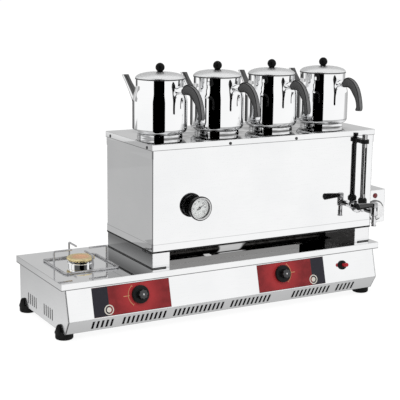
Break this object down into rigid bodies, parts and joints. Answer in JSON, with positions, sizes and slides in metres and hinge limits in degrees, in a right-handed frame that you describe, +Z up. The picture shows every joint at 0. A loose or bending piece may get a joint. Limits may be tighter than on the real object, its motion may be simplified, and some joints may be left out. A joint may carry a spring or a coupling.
{
  "type": "tea urn",
  "caption": "Long countertop tea boiler: gas base with a side burner and knobs, a steel water tank with gauge tap and thermometer, and a row of lidded teapots on its steam cover.",
  "frame": {"origin": "centre of the footprint's bounding box, on the floor under the feet", "axes": "+X along the boiler to its right end, +Y from the controls to the back, +Z up"},
  "size_m": [1.034, 0.4066, 0.6734],
  "materials": {
    "polished_steel": "mirror polished stainless steel",
    "pot_steel": "mirror polished stainless steel, spun",
    "satin_steel": "satin stainless sheet",
    "dark_steel": "plain steel in the burner bay",
    "plated_metal": "bright nickel plate",
    "brass": "machined brass",
    "copper_pipe": "drawn copper and brass pipe",
    "burner_alloy": "heat tinted pressed alloy",
    "trivet_wire": "black enamelled wire",
    "red_label": "red printed label with plain scales",
    "black_plastic": "black moulded plastic",
    "gloss_black": "glossy black phenolic",
    "foot_rubber": "black moulded rubber",
    "red_button": "red push button",
    "lamp_red": "dark red lens",
    "cream_plastic": "moulded switch body",
    "pale_knob": "pale grey knob with a dark rim",
    "dial_face": "white face with a plain numbered scale",
    "needle_black": "black pointer",
    "clear_glass": "clear glass",
    "black_metal": "black enamelled case"
  },
  "bodies": {
    "boiler": {"base_top_plate": "polished_steel", "base_front_panel": "polished_steel", "base_left_side": "satin_steel", "base_right_side": "satin_steel", "base_back_panel": "satin_steel", "base_floor_plate": "satin_steel", "corner_feet": "foot_rubber", "panel_screws": "plated_metal", "control_labels": "red_label", "left_gas_valve": "brass", "right_gas_valve": "brass", "gas_manifold": "copper_pipe", "burner_feed_pipes": "copper_pipe", "igniter_body": "black_plastic", "side_burner_cup": "dark_steel", "main_burner": "dark_steel", "tank_stands": "satin_steel", "tank_shell": "polished_steel", "tank_cover": "polished_steel", "heating_element": "dark_steel", "control_box": "polished_steel", "thermostat": "cream_plastic", "pilot_lamp": "lamp_red", "cable_gland": "black_plastic", "thermometer_case": "black_metal", "thermometer_dial": "dial_face", "thermometer_glass": "clear_glass", "tap_body": "plated_metal", "tap_back_nut": "brass", "gauge_nut": "black_plastic", "gauge_glass": "clear_glass", "gauge_guard": "plated_metal", "gauge_clamp": "black_plastic"},
    "left_spindle": {"left_valve_spindle": "brass"},
    "right_spindle": {"right_valve_spindle": "brass"},
    "left_knob": {"left_burner_knob": "black_plastic"},
    "right_knob": {"right_burner_knob": "black_plastic"},
    "igniter_push": {"igniter_button": "red_button"},
    "burner_cap": {"side_burner_cap": "burner_alloy"},
    "trivet": {"pan_trivet": "trivet_wire"},
    "thermostat_dial": {"thermostat_knob": "pale_knob"},
    "needle": {"thermometer_needle": "needle_black"},
    "tap_lever": {"tap_plug": "plated_metal", "tap_grip": "gloss_black"},
    "pot_1": {"pot_1_body": "pot_steel", "pot_1_handle": "gloss_black"},
    "lid_1": {"pot_1_lid": "pot_steel", "pot_1_lid_knob": "gloss_black"},
    "pot_2": {"pot_2_body": "pot_steel", "pot_2_handle": "gloss_black"},
    "lid_2": {"pot_2_lid": "pot_steel", "pot_2_lid_knob": "gloss_black"},
    "pot_3": {"pot_3_body": "pot_steel", "pot_3_handle": "gloss_black"},
    "lid_3": {"pot_3_lid": "pot_steel", "pot_3_lid_knob": "gloss_black"},
    "pot_4": {"pot_4_body": "pot_steel", "pot_4_handle": "gloss_black"},
    "lid_4": {"pot_4_lid": "pot_steel", "pot_4_lid_knob": "gloss_black"}
  },
  "joints": [
    {"name": "left_burner_turn", "type": "hinge", "parent": "boiler", "child": "left_spindle", "pos_m": [-0.306, -0.14747, 0.10131], "axis": [0, -0.9679, 0.2514], "range_deg": [0, 210]},
    {"name": "left_knob_press", "type": "slide", "parent": "left_spindle", "child": "left_knob", "axis": [0, 0.9679, -0.2514], "range_m": [0, 0.003], "stiffness_N_per_m": 400, "springref_m": -0.002},
    {"name": "right_burner_turn", "type": "hinge", "parent": "boiler", "child": "right_spindle", "pos_m": [0.126, -0.14747, 0.10131], "axis": [0, -0.9679, 0.2514], "range_deg": [0, 210]},
    {"name": "right_knob_press", "type": "slide", "parent": "right_spindle", "child": "right_knob", "axis": [0, 0.9679, -0.2514], "range_m": [0, 0.003], "stiffness_N_per_m": 400, "springref_m": -0.002},
    {"name": "igniter_press", "type": "slide", "parent": "boiler", "child": "igniter_push", "axis": [0, 0.9679, -0.2514], "range_m": [0, 0.005], "stiffness_N_per_m": 300, "springref_m": -0.003},
    {"name": "burner_cap_lift", "type": "slide", "parent": "boiler", "child": "burner_cap", "axis": [0, 0, 1], "range_m": [0, 0.015]},
    {"name": "trivet_lift", "type": "slide", "parent": "boiler", "child": "trivet", "axis": [0, 0, 1], "range_m": [0, 0.08]},
    {"name": "thermostat_turn", "type": "hinge", "parent": "boiler", "child": "thermostat_dial", "pos_m": [0.482, -0.09083, 0.234], "axis": [0, 1, 0], "range_deg": [0, 270]},
    {"name": "needle_turn", "type": "hinge", "parent": "boiler", "child": "needle", "pos_m": [-0.126, -0.11582, 0.306], "axis": [0, -1, 0], "range_deg": [-75, 195]},
    {"name": "tap_turn", "type": "hinge", "parent": "boiler", "child": "tap_lever", "pos_m": [0.399, -0.19382, 0.257], "axis": [0, 0, 1], "range_deg": [0, 90]},
    {"name": "pot_1_lift", "type": "slide", "parent": "boiler", "child": "pot_1", "axis": [0, 0, 1], "range_m": [0, 0.2]},
    {"name": "lid_1_lift", "type": "slide", "parent": "pot_1", "child": "lid_1", "axis": [0, 0, 1], "range_m": [0, 0.06]},
    {"name": "pot_2_lift", "type": "slide", "parent": "boiler", "child": "pot_2", "axis": [0, 0, 1], "range_m": [0, 0.2]},
    {"name": "lid_2_lift", "type": "slide", "parent": "pot_2", "child": "lid_2", "axis": [0, 0, 1], "range_m": [0, 0.06]},
    {"name": "pot_3_lift", "type": "slide", "parent": "boiler", "child": "pot_3", "axis": [0, 0, 1], "range_m": [0, 0.2]},
    {"name": "lid_3_lift", "type": "slide", "parent": "pot_3", "child": "lid_3", "axis": [0, 0, 1], "range_m": [0, 0.06]},
    {"name": "pot_4_lift", "type": "slide", "parent": "boiler", "child": "pot_4", "axis": [0, 0, 1], "range_m": [0, 0.2]},
    {"name": "lid_4_lift", "type": "slide", "parent": "pot_4", "child": "lid_4", "axis": [0, 0, 1], "range_m": [0, 0.06]}
  ]
}
